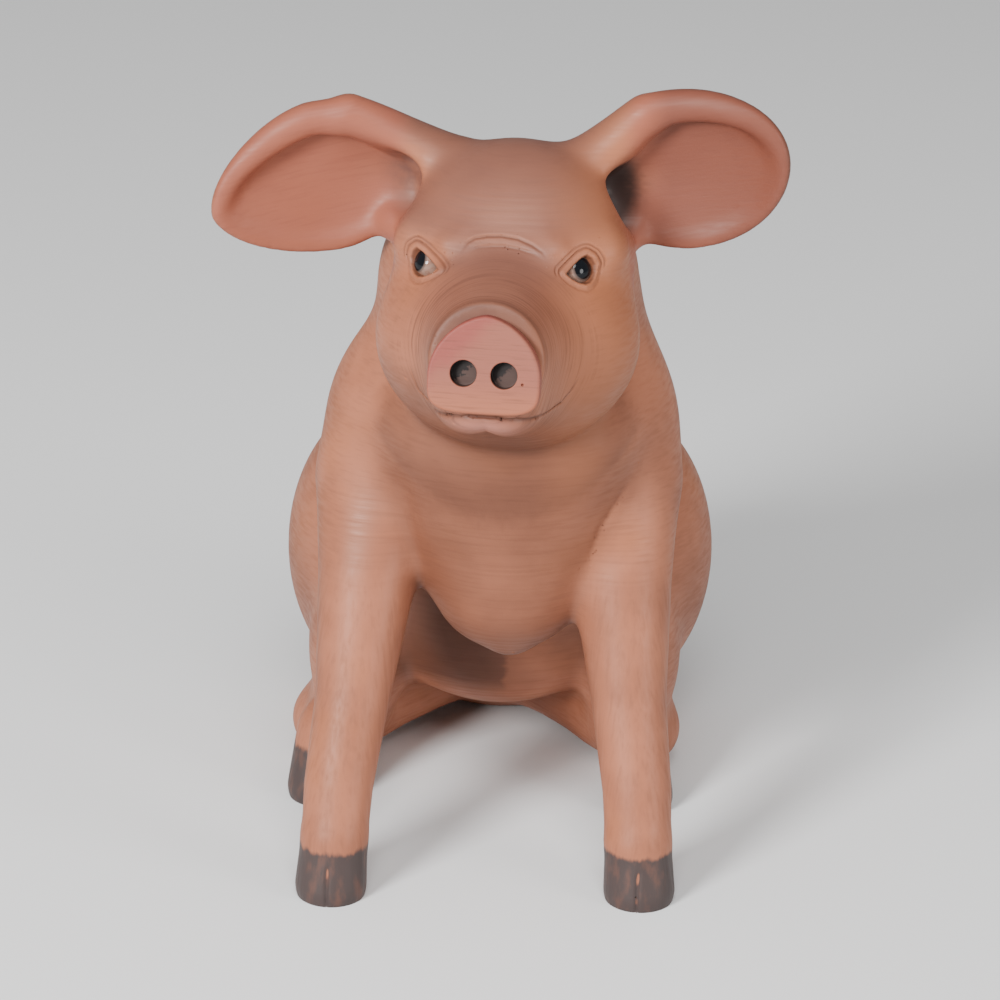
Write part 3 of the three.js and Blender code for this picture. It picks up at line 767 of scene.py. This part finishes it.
def kept(tree, name):
    reader = tree.nodes.new("ShaderNodeAttribute")
    reader.attribute_name = name
    return reader.outputs["Fac"]


def add(tree, kind, inputs, **settings):
    """A shader node; each input is a value or another node's output."""
    made = tree.nodes.new(kind)
    for key, value in settings.items():
        setattr(made, key, value)
    for key, value in inputs.items():
        if isinstance(value, bpy.types.NodeSocket):
            tree.links.new(value, made.inputs[key])
        else:
            made.inputs[key].default_value = value
    return made.outputs[0]


def sum_of(tree, operation, a, b):
    return add(tree, "ShaderNodeMath", {0: a, 1: b}, operation=operation)


def over(tree, share, under, upper):
    """One colour laid over another with a share from 0 to 1."""
    mix = tree.nodes.new("ShaderNodeMix")
    mix.data_type = "RGBA"
    for index, value in ((0, share), (6, under), (7, upper)):
        if isinstance(value, bpy.types.NodeSocket):
            tree.links.new(value, mix.inputs[index])
        else:
            mix.inputs[index].default_value = value
    return mix.outputs[2]


def graded(tree, value, low, high, to_low=0.0, to_high=1.0):
    return add(tree, "ShaderNodeMapRange", {
        "Value": value, "From Min": low, "From Max": high, "To Min": to_low, "To Max": to_high,
    }, interpolation_type="SMOOTHSTEP")


def noise(tree, place, stretch, detail=3.0, roughness=0.55):
    """Noise that varies along each axis as often in a millimetre as stretch says."""
    scaled = add(tree, "ShaderNodeVectorMath", {0: place, 1: stretch}, operation="MULTIPLY")
    return add(tree, "ShaderNodeTexNoise", {
        "Vector": scaled, "Scale": 1.0, "Detail": detail, "Roughness": roughness,
    })


def in_millimetres(tree, matrix=Matrix()):
    """Object coordinates in one of the carver's frames, in millimetres."""
    place = tree.nodes.new("ShaderNodeTexCoord").outputs["Object"]
    return add(tree, "ShaderNodeMapping", {
        "Vector": place,
        "Location": mark + matrix.to_translation() * MM,
        "Rotation": matrix.to_euler(),
        "Scale": (MM, MM, MM),
    }, vector_type="TEXTURE")


def new_paint(name, roughness):
    material = bpy.data.materials.new(name)
    material.use_nodes = True
    coat = material.node_tree.nodes["Principled BSDF"]
    coat.inputs["Roughness"].default_value = roughness
    return material, material.node_tree, coat


points = to_carver(mesh)
in_head = to_head(points)
x, y, z = points.T
off_axis = np.hypot(in_head[:, 0], in_head[:, 2] + SNOUT_DROP)
keep(mesh, "muzzle", ramp(in_head[:, 1], -14, -30) * ramp(off_axis, 40, 28))
keep(mesh, "leg", np.maximum(
    ramp(z, 130, 100) * ramp(y, 0, -12) * ramp(np.abs(x - OFF_CENTRE), 24, 36),
    ramp(z, 40, 25) * ramp(np.abs(x), 30, 42) * ramp(y, 60, 40),
))
ears = ramp(np.abs(x - OFF_CENTRE), 42, 54) * ramp(z, 232, 242)
dish, pit = np.zeros(len(points)), np.zeros(len(points))
for ear in EARS.values():
    dish = np.maximum(dish, ramp(ear["dish"](points), 2.2, 0.4))
    deepest = ear["frame"] @ Vector((12 - ear["shape"]["root"] - ear["depth"], -3, -5))
    at_pit = np.linalg.norm((points - np.array(deepest)) / [1, 1, 1.3], axis=1)
    pit = np.maximum(pit, ramp(at_pit, 15 + ear["depth"] / 2, 4))
keep(mesh, "ear", ears)
keep(mesh, "dish", dish * ramp(np.abs(x - OFF_CENTRE), 34, 44))
# Painted shade: mauve in the pits of both ears, and near black in the pit of the left ear with a
# darker wash over that whole ear, which is turned away from the key.
keep(mesh, "pit", pit)
keep(mesh, "deep", np.maximum(ramp(pit, 0.2, 0.8), 0.36 * ears) * (x > 0))
feet = np.hypot(np.abs(x - HIND_MIDDLE) - HIND_REACH, y - 19) - 17
keep(mesh, "hoof", np.clip(np.maximum(z - HOOF_TOP, np.minimum(y + 40, feet)), -20, 20))
slits = np.minimum.reduce([gap_to(points, line)[0] for line in HOOF_SLITS])
keep(mesh, "slit", np.clip(slits, 0, 8))
lip = mound(in_head, LIP, [12, 9, 5])
keep(mesh, "lip", lip)
# Painted shade in the cuts: the folds, the mouth and its smile lines, the lids and the ring behind
# the disc.
keep(mesh, "cut", np.clip(np.maximum.reduce([cut / 0.7, smile, lids, crease]), 0, 1))
mesh.vertex_normals.foreach_get("vector", normals.ravel())
up = (normals @ np.array(head_frame)[:3, :3])[:, 2]
# Painted shade in mauve: on the bridge, where it is partly the paint's own darker tone, on the
# crown where it faces up, and over the ears, heavier on the left ear, on the side away from the
# key.
on_head = ramp(in_head[:, 1], 60, 30) * ramp(in_head[:, 2], -40, -30)
bridge = ramp(in_head[:, 2], -32, -6) * ramp(np.abs(in_head[:, 0]), 36, 12)
bridge *= ramp(in_head[:, 1], -25, -30) * ramp(in_head[:, 2], 20, 16)
crown = ramp(up, -0.3, 0.7) * ramp(in_head[:, 2], 4, 26)
on_top = (0.75 * bridge + crown) * on_head * (1 - ears)
keep(mesh, "shade", np.clip(on_top + ears * np.where(x > 0, 0.75, 0.3), 0, 1))
# Painted shade: brown on the surfaces that face down, from the belly up to the chin, but not on the
# lip.
facing_down = ramp(normals[:, 2], 0.45, -0.6) * ramp(z, 40, 70) * ramp(z, 225, 195)
keep(mesh, "under", facing_down * (1 - lip))
# Painted shadow of the chest's keel on the belly behind it, stronger on the right side.
keel_shadow = ramp(y, -14, 6) * ramp(y, 60, 40) * ramp(np.abs(x - OFF_CENTRE), 47, 36)
keel_shadow *= ramp(z, 35, 50) * ramp(z, 134, 116)
keep(mesh, "hollow", keel_shadow * np.where(x < OFF_CENTRE, 1, 0.4))
# Painted shadow of the head on the chest, ending below in an arc, and painted shade on the band
# behind the disc, which faces up into the key.
above_arc = z - 143 - 15 * ((x - 1) / 35) ** 2
painted_shadow = ramp(above_arc, -1.5, 3) * ramp(z, 192, 178) * ramp(y, -25, -38)
behind_disc = ramp(in_head[:, 1], -57, -64) * ramp(in_head[:, 2], -26, -12)
keep(mesh, "painted_shadow", np.maximum(painted_shadow * (1 - lip), 1.3 * behind_disc))
# Tan on the left side of the head: partly the paint's own tone, partly painted warm shade on the
# side away from the key.
keep(mesh, "warm", ramp(in_head[:, 0], 8, 34) * ramp(in_head[:, 1], 20, 0) * (1 - ears))

material, tree, coat = new_paint("painted_skin", 0.5)
coat.inputs["Specular IOR Level"].default_value = 0.24
figure = in_millimetres(tree)
snout = in_millimetres(tree, head_frame)
ear_place = in_millimetres(tree, Matrix.Rotation(math.radians(-12.5), 4, "Y"))
rings = noise(tree, snout, (0.04, 1.15, 0.04))
lengthwise = noise(tree, figure, (0.6, 0.6, 0.015))
crosswise = noise(tree, figure, (0.02, 0.15, 0.75))
ear_lines = noise(tree, ear_place, (0.03, 0.3, 0.75))
lines = crosswise
for name, other in (("leg", lengthwise), ("muzzle", rings), ("ear", ear_lines)):
    lines = add(tree, "ShaderNodeMix", {0: kept(tree, name), 2: lines, 3: other})
blotches = noise(tree, figure, (0.035, 0.035, 0.035), detail=4.0)
grain = noise(tree, figure, (2.2, 2.2, 2.2), detail=2.0)

colour = over(tree, graded(tree, blotches, 0.35, 0.68), PINK, PALE_PINK)
warm = noise(tree, figure, (0.02, 0.03, 0.025), detail=3.0)
colour = over(tree, graded(tree, warm, 0.5, 0.72, 0.0, 0.45), colour, TAN)
on_ear = sum_of(tree, "MULTIPLY", kept(tree, "ear"), 0.5)
brushed = sum_of(tree, "MAXIMUM", kept(tree, "muzzle"), on_ear)
strength = sum_of(tree, "ADD", sum_of(tree, "MULTIPLY", brushed, 0.45), 0.15)
dark_lines = sum_of(tree, "MULTIPLY", graded(tree, lines, 0.52, 0.3), strength)
colour = over(tree, dark_lines, colour, BROWN)
colour = over(tree, graded(tree, lines, 0.5, 0.75, 0.0, 0.3), colour, PALE_PINK)
# Laid over the paint: painted shade in mauve on the top of the head and the ears, in brown on the
# surfaces facing down, the painted shadows of the keel on the belly and of the head on the chest,
# and the tan on the left of the head, partly painted shade; the rose of the ear dishes and the pink
# of the lip are paint.
for name, share, tint in (
    ("shade", 0.75, MAUVE),
    ("under", 0.6, BROWN),
    ("hollow", 0.78, BROWN),
    ("painted_shadow", 0.36, BROWN),
    ("warm", 0.5, TAN),
    ("dish", 0.75, ROSE),
    ("lip", 0.75, LIP_PINK),
):
    colour = over(tree, sum_of(tree, "MULTIPLY", kept(tree, name), share), colour, tint)
# Painted shade in the ear pits, mottled, and near black over the pit of the left ear.
pit_mottle = noise(tree, figure, (0.3, 0.3, 0.3), detail=4.0)
in_pit = sum_of(tree, "MULTIPLY", kept(tree, "pit"), graded(tree, pit_mottle, 0.3, 0.65, 0.6, 0.95))
colour = over(tree, in_pit, colour, MAUVE)
colour = over(tree, sum_of(tree, "MULTIPLY", kept(tree, "deep"), 0.95), colour, PIT_DARK)
# Painted shade, brown, in the cuts.
colour = over(tree, sum_of(tree, "MULTIPLY", kept(tree, "cut"), 0.75), colour, BROWN)
ragged = noise(tree, figure, (0.28, 0.28, 0.1), detail=5.0)
edge = sum_of(tree, "ADD", kept(tree, "hoof"), sum_of(tree, "MULTIPLY", ragged, 6.0))
hoof = graded(tree, edge, 4.6, 2.2)
thin = noise(tree, figure, (0.25, 0.25, 0.1), detail=3.0)
hoof_colour = over(tree, graded(tree, thin, 0.45, 0.75, 0.0, 0.18), HOOF_GREY, PINK)
bare = sum_of(tree, "ADD", kept(tree, "slit"), ragged)
hoof_colour = over(tree, graded(tree, bare, 1.1, 0.75, 0.0, 0.7), hoof_colour, PALE_PINK)
colour = over(tree, hoof, colour, hoof_colour)
tree.links.new(colour, coat.inputs["Base Color"])
tree.links.new(graded(tree, lines, 0.3, 0.7, 0.58, 0.44), coat.inputs["Roughness"])
height = sum_of(tree, "ADD", lines, sum_of(tree, "MULTIPLY", grain, 0.25))
tree.links.new(add(tree, "ShaderNodeBump", {
    "Strength": 0.5, "Distance": 0.00016, "Height": height,
}), coat.inputs["Normal"])
mesh.materials.clear()
mesh.materials.append(material)

mesh.shade_smooth()
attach(skin, "root")
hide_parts(*SKIN_NODES)

# ---------------------------------------------------------------- the snout disc
# A flat plate of the same wood, flat below and domed above, with its edge rounded over and
# two nostrils drilled into it. One has the dimple of a smaller drill, with a pin hole beside it.

DISC_WIDTH = 38
DISC_HEIGHT = 33
NOSTRIL_BORE = 9
NOSTRIL_APART = 13.6
NOSTRIL_DEPTH = 4
NOSTRIL_DROP = 3
HALF_SAW_GAP = 0.15
# Each small hole's place across the disc, its radius and its depth.
SMALL_HOLES = [((7.5, -19.9), 0.7, NOSTRIL_DEPTH + 0.7), ((13.1, -23.6), 0.4, 0.8)]


def to_frame(shape, matrix):
    """Moves a shape made in millimetres in one of the carver's frames into the frame itself."""
    place = Matrix.Translation(mark) @ Matrix.Diagonal((MM, MM, MM, 1)) @ matrix
    bmesh.ops.transform(shape, matrix=place, verts=shape.verts)


def add_piece(name, shape):
    mesh = bpy.data.meshes.new(name)
    shape.to_mesh(mesh)
    shape.free()
    piece = bpy.data.objects.new(name, mesh)
    bpy.context.scene.collection.objects.link(piece)
    return piece


def disc_edge(turn, inset):
    """A point of the disc's outline, set in from its edge."""
    squared = lambda value, power: math.copysign(abs(value) ** power, value)
    low = math.sin(turn) < 0
    x = (DISC_WIDTH / 2 - inset) * squared(math.cos(turn), 0.5 if low else 1.25)
    rise = DISC_HEIGHT * (0.36 if low else 0.64) - inset
    return x, rise * squared(math.sin(turn), 0.5 if low else 1) - DISC_HEIGHT * 0.14


shape = bmesh.new()
DISC_POINTS = 120
rear = DISC_THICK - SNOUT_REACH - HALF_SAW_GAP
rings = []
for depth, inset in ((0, 0), (3.9, 0), (4.45, 0.15), (4.8, 0.5), (5, 1.1)):
    ring = []
    for i in range(DISC_POINTS):
        x, z = disc_edge(2 * math.pi * (i + 0.5) / DISC_POINTS, inset)
        ring.append(shape.verts.new((x, rear - depth, z - SNOUT_DROP)))
    edges = [shape.edges.new((ring[i - 1], ring[i])) for i in range(DISC_POINTS)]
    if rings:
        bmesh.ops.bridge_loops(shape, edges=rings[-1] + edges)
    rings.append(edges)
bmesh.ops.contextual_create(shape, geom=rings[0])
bmesh.ops.contextual_create(shape, geom=rings[-1])
bmesh.ops.recalc_face_normals(shape, faces=shape.faces)
to_frame(shape, head_frame)
disc = add_piece("snout", shape)
disc.data.shade_smooth()

shape = bmesh.new()
for side in (-1, 1):
    place = Matrix.Translation((side * NOSTRIL_APART / 2, -SNOUT_REACH, -SNOUT_DROP - NOSTRIL_DROP))
    lie = Matrix.Rotation(math.radians(90), 4, "X")
    bmesh.ops.create_cone(
        shape, cap_ends=True, segments=64, radius1=NOSTRIL_BORE / 2, radius2=NOSTRIL_BORE / 2,
        depth=2 * NOSTRIL_DEPTH, matrix=place @ lie,
    )
for (x, z), radius, deep in SMALL_HOLES:
    bmesh.ops.create_cone(
        shape, cap_ends=True, segments=16, radius1=radius, radius2=radius, depth=2 * deep,
        matrix=Matrix.Translation((x, -SNOUT_REACH, z)) @ lie,
    )
to_frame(shape, head_frame)
drill = add_piece("drill", shape)
bores = disc.modifiers.new("bores", "BOOLEAN")
bores.object = drill
bores.operation = "DIFFERENCE"
rounded = disc.modifiers.new("rounded", "BEVEL")
rounded.width = 0.35 * MM
rounded.segments = 2
rounded.limit_method = "ANGLE"
rounded.angle_limit = math.radians(50)
even = disc.modifiers.new("even", "WEIGHTED_NORMAL")
even.weight = 100
mesh = settle(disc)
bpy.data.objects.remove(drill)
points = to_head(to_carver(mesh))
keep(mesh, "depth", np.clip(points[:, 1] + SNOUT_REACH, 0, 6))
above = points[:, 2] + SNOUT_DROP + NOSTRIL_DROP
from_bores = np.hypot(np.abs(points[:, 0]) - NOSTRIL_APART / 2, above)
keep(mesh, "bore", ramp(from_bores, NOSTRIL_BORE / 2 + 0.45, NOSTRIL_BORE / 2 + 0.2))
across = points[:, 0] - np.sign(points[:, 0]) * NOSTRIL_APART / 2
keep(mesh, "lean", (above - across) / NOSTRIL_BORE)

DISC_PINK = (0.2, 0.064, 0.042, 1)
DISC_LOW = (0.25, 0.08, 0.042, 1)
DISC_BLUSH = (0.19, 0.036, 0.03, 1)
BORE_GREY = (0.045, 0.024, 0.019, 1)
BORE_DARK = (0.006, 0.003, 0.0025, 1)
material, tree, coat = new_paint("painted_snout", 0.55)
coat.inputs["Specular IOR Level"].default_value = 0.22
place = in_millimetres(tree, head_frame)
strokes = noise(tree, place, (0.06, 0.3, 1.1), detail=4.0)
patches = noise(tree, place, (0.09, 0.09, 0.13), detail=3.0)
spots = noise(tree, place, (0.9, 0.9, 0.9), detail=2.0)
up = add(tree, "ShaderNodeSeparateXYZ", {"Vector": place}).node.outputs
colour = over(tree, graded(tree, up["Z"], -20.0, -34.0), DISC_PINK, DISC_LOW)
slant = sum_of(tree, "SUBTRACT", up["Z"], up["X"])
blush = sum_of(tree, "ADD", slant, sum_of(tree, "MULTIPLY", patches, 16.0))
colour = over(tree, graded(tree, blush, -4.0, 8.0, 0.0, 0.7), colour, DISC_BLUSH)
colour = over(tree, graded(tree, strokes, 0.5, 0.3, 0.0, 0.28), colour, BROWN)
colour = over(tree, graded(tree, spots, 0.62, 0.8, 0.0, 0.35), colour, DISC_LOW)
# Darker rose on the disc's rounded edge and its sides, from 0.6 mm behind its face.
side_share = sum_of(tree, "MULTIPLY", graded(tree, kept(tree, "depth"), 0.6, 2.2), 0.45)
colour = over(tree, side_share, colour, DISC_BLUSH)
# Painted shade inside the nostril bores, and a painted shadow over their upper wall on the key's
# side.
inside = sum_of(tree, "MULTIPLY", kept(tree, "bore"), graded(tree, kept(tree, "depth"), 0.2, 1.2))
colour = over(tree, inside, colour, BORE_GREY)
shadow_reach = sum_of(tree, "ADD", kept(tree, "lean"), sum_of(tree, "MULTIPLY", spots, 0.8))
dark_side = sum_of(tree, "MULTIPLY", inside, graded(tree, shadow_reach, 0.3, 0.5))
colour = over(tree, dark_side, colour, BORE_DARK)
tree.links.new(colour, coat.inputs["Base Color"])
height = sum_of(tree, "ADD", strokes, sum_of(tree, "MULTIPLY", spots, 0.3))
tree.links.new(add(tree, "ShaderNodeBump", {
    "Strength": 0.5, "Distance": 0.00016, "Height": height,
}), coat.inputs["Normal"])
mesh.materials.clear()
mesh.materials.append(material)

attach(disc, "root")
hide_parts("snout_disc")

# ---------------------------------------------------------------- the eyes
# Glass eyes, set into their sockets from the front before the lids were closed over them.

PUPIL = 3.9
EYE_BLACK = (0.003, 0.0035, 0.005, 1)
EYE_RIM = (0.09, 0.06, 0.05, 1)
EYE_WHITE = (0.2, 0.12, 0.09, 1)
EYE_VEIN = (0.16, 0.06, 0.038, 1)

for side, place in EYE_MARKS.items():
    shape = bmesh.new()
    bmesh.ops.create_uvsphere(shape, u_segments=64, v_segments=32, radius=EYE_RADIUS)
    bmesh.ops.translate(shape, vec=place, verts=shape.verts)
    to_frame(shape, head_frame)
    eye = add_piece(f"glass_eye_{side}", shape)
    eye.data.shade_smooth()

    material, tree, glass = new_paint(f"eye_{side}", 0.04)
    look = head_frame.to_3x3() @ Vector(GAZE[side]).normalized()
    centre = mark + head_frame @ Vector(place) * MM
    spot = tree.nodes.new("ShaderNodeTexCoord").outputs["Object"]
    from_centre = add(tree, "ShaderNodeVectorMath", {0: spot, 1: centre}, operation="SUBTRACT")
    turned = add(tree, "ShaderNodeVectorMath", {0: from_centre, 1: look}, operation="CROSS_PRODUCT")
    off = add(tree, "ShaderNodeVectorMath", {0: turned}, operation="LENGTH").node.outputs["Value"]
    off = sum_of(tree, "DIVIDE", off, MM)
    mottle = noise(tree, in_millimetres(tree), (0.5, 0.5, 0.5))
    white = over(tree, graded(tree, mottle, 0.45, 0.7, 0.0, 0.6), EYE_WHITE, EYE_VEIN)
    colour = over(tree, graded(tree, off, PUPIL + 0.5, PUPIL), white, EYE_RIM)
    colour = over(tree, graded(tree, off, PUPIL, PUPIL - 0.5), colour, EYE_BLACK)
    tree.links.new(colour, glass.inputs["Base Color"])
    glass.inputs["Specular IOR Level"].default_value = 0.2
    eye.data.materials.append(material)
    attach(eye, "root")
    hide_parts(f"eye_{side}")

# ---------------------------------------------------------------- table, light and camera
# A plain pale table with a soft key from the front right of the figure, a weak lamp above and a
# weak one on its left, and the camera in front, a little above the head.

FLOOR_GREY = (0.72, 0.72, 0.72, 1)
WORLD_LIGHT = 0.42
LENS = 147.4
floor_mesh = bpy.data.meshes.new("floor")
shape = bmesh.new()
bmesh.ops.create_grid(shape, x_segments=1, y_segments=1, size=4)
shape.to_mesh(floor_mesh)
shape.free()
floor = bpy.data.objects.new("floor", floor_mesh)
bpy.context.scene.collection.objects.link(floor)
floor_paint = bpy.data.materials.new("floor_paint")
floor_paint.use_nodes = True
floor_coat = floor_paint.node_tree.nodes["Principled BSDF"]
floor_coat.inputs["Base Color"].default_value = FLOOR_GREY
floor_coat.inputs["Roughness"].default_value = 0.9
floor_mesh.materials.append(floor_paint)


def soft_lamp(name, place, aim, size, power):
    light = bpy.data.lights.new(name, "AREA")
    light.shape = "DISK"
    light.size = size
    light.energy = power
    lamp = bpy.data.objects.new(name, light)
    lamp.location = place
    lamp.rotation_euler = (Vector(aim) - Vector(place)).to_track_quat("-Z", "Y").to_euler()
    bpy.context.scene.collection.objects.link(lamp)


soft_lamp("key", (-1.35, -1.95, 1.15), (0, 0, 0.15), 0.8, 128)
soft_lamp("top", (0.1, -1.3, 1.6), (0, 0, 0.15), 0.9, 28)
soft_lamp("fill", (1.9, -1.3, 0.5), (0, 0, 0.12), 1.0, 30)

world = bpy.data.worlds.new("studio")
world.use_nodes = True
world.node_tree.nodes["Background"].inputs["Color"].default_value = (1, 1, 1, 1)
world.node_tree.nodes["Background"].inputs["Strength"].default_value = WORLD_LIGHT
bpy.context.scene.world = world

EYE_LEVEL = 22
SWING = 1
LEAN = 1.5
STAND_OFF = 1.5
aim = mark + Vector((0, 0, 0.13))
level, swing, lean = (math.radians(value) for value in (EYE_LEVEL, SWING, LEAN))
back = Vector((
    math.sin(swing) * math.cos(level), -math.cos(swing) * math.cos(level), math.sin(level)
))
camera = bpy.data.objects.new("camera", bpy.data.cameras.new("camera"))
camera.data.lens = LENS
camera.data.sensor_width = 36
camera.location = aim + back * STAND_OFF
upright = back.to_track_quat("Z", "Y").to_matrix().to_4x4()
camera.rotation_euler = (upright @ Matrix.Rotation(lean, 4, "Z")).to_euler()
bpy.context.scene.collection.objects.link(camera)
bpy.context.scene.camera = camera
